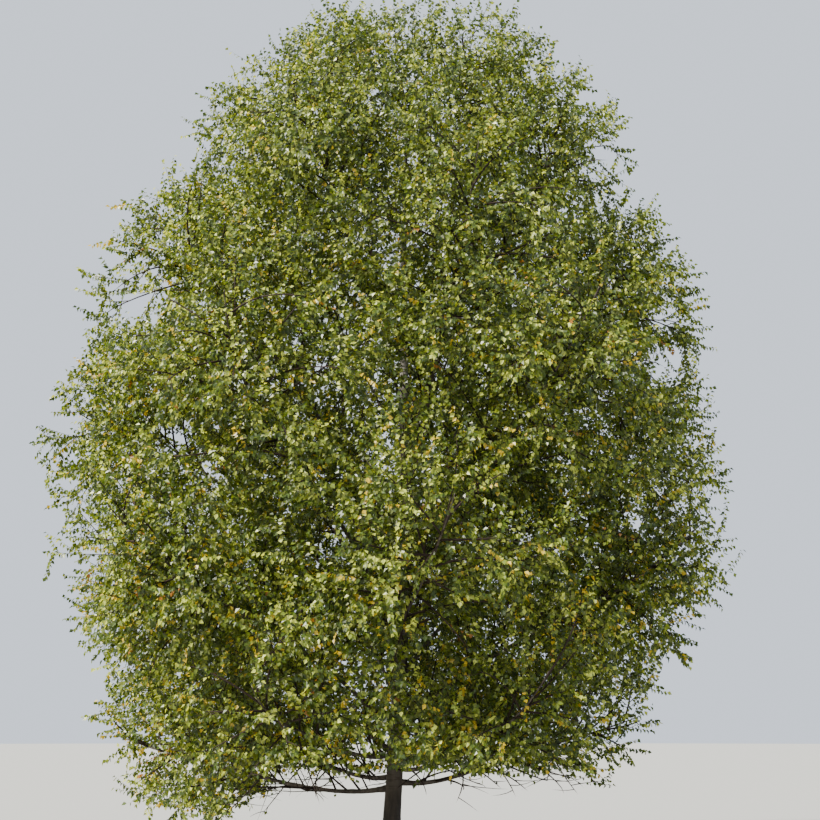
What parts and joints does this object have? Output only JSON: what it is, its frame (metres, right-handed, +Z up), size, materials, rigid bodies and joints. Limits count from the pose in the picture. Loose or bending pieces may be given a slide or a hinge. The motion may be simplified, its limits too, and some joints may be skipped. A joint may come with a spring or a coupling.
{
  "type": "downy birch tree",
  "caption": "Open-grown downy birch in leaf: flared trunk, boughs spreading low and steep above, egg-shaped airy crown reaching nearly to the ground.",
  "frame": {"origin": "centre of the flat cut under the trunk, at ground level", "axes": "+Z up along the trunk, +X to the right and +Y away from the viewer in the picture's view"},
  "size_m": [8.1838, 7.8509, 10.5796],
  "materials": {
    "trunk_bark": "rough bark",
    "bough_bark": "rough bark",
    "foliage": "leaves and twigs"
  },
  "bodies": {
    "root": {"bough_lower_1": "bough_bark", "bough_lower_2": "bough_bark", "bough_lower_3": "bough_bark", "bough_lower_4": "bough_bark", "bough_lower_5": "bough_bark", "bough_lower_6": "bough_bark", "bough_middle_1": "bough_bark", "bough_middle_2": "bough_bark", "bough_middle_3": "bough_bark", "bough_middle_4": "bough_bark", "bough_middle_5": "bough_bark", "bough_middle_6": "bough_bark", "bough_shoulder_1": "bough_bark", "bough_shoulder_2": "bough_bark", "bough_shoulder_3": "bough_bark", "bough_shoulder_4": "bough_bark", "bough_skirt_1": "bough_bark", "bough_skirt_2": "bough_bark", "bough_skirt_3": "bough_bark", "bough_skirt_4": "bough_bark", "bough_skirt_5": "bough_bark", "bough_skirt_6": "bough_bark", "bough_upper_1": "bough_bark", "bough_upper_2": "bough_bark", "bough_upper_3": "bough_bark", "bough_upper_4": "bough_bark", "bough_upper_5": "bough_bark", "foliage_crest_1": "foliage", "foliage_crest_2": "foliage", "foliage_crest_3": "foliage", "foliage_lower_1": "foliage", "foliage_lower_2": "foliage", "foliage_lower_3": "foliage", "foliage_lower_4": "foliage", "foliage_lower_5": "foliage", "foliage_lower_6": "foliage", "foliage_middle_1": "foliage", "foliage_middle_2": "foliage", "foliage_middle_3": "foliage", "foliage_middle_4": "foliage", "foliage_middle_5": "foliage", "foliage_middle_6": "foliage", "foliage_shoulder_1": "foliage", "foliage_shoulder_2": "foliage", "foliage_shoulder_3": "foliage", "foliage_shoulder_4": "foliage", "foliage_skirt_1": "foliage", "foliage_skirt_2": "foliage", "foliage_skirt_3": "foliage", "foliage_skirt_4": "foliage", "foliage_skirt_5": "foliage", "foliage_skirt_6": "foliage", "foliage_top_1": "foliage", "foliage_upper_1": "foliage", "foliage_upper_2": "foliage", "foliage_upper_3": "foliage", "foliage_upper_4": "foliage", "foliage_upper_5": "foliage", "trunk": "trunk_bark"}
  },
  "joints": []
}
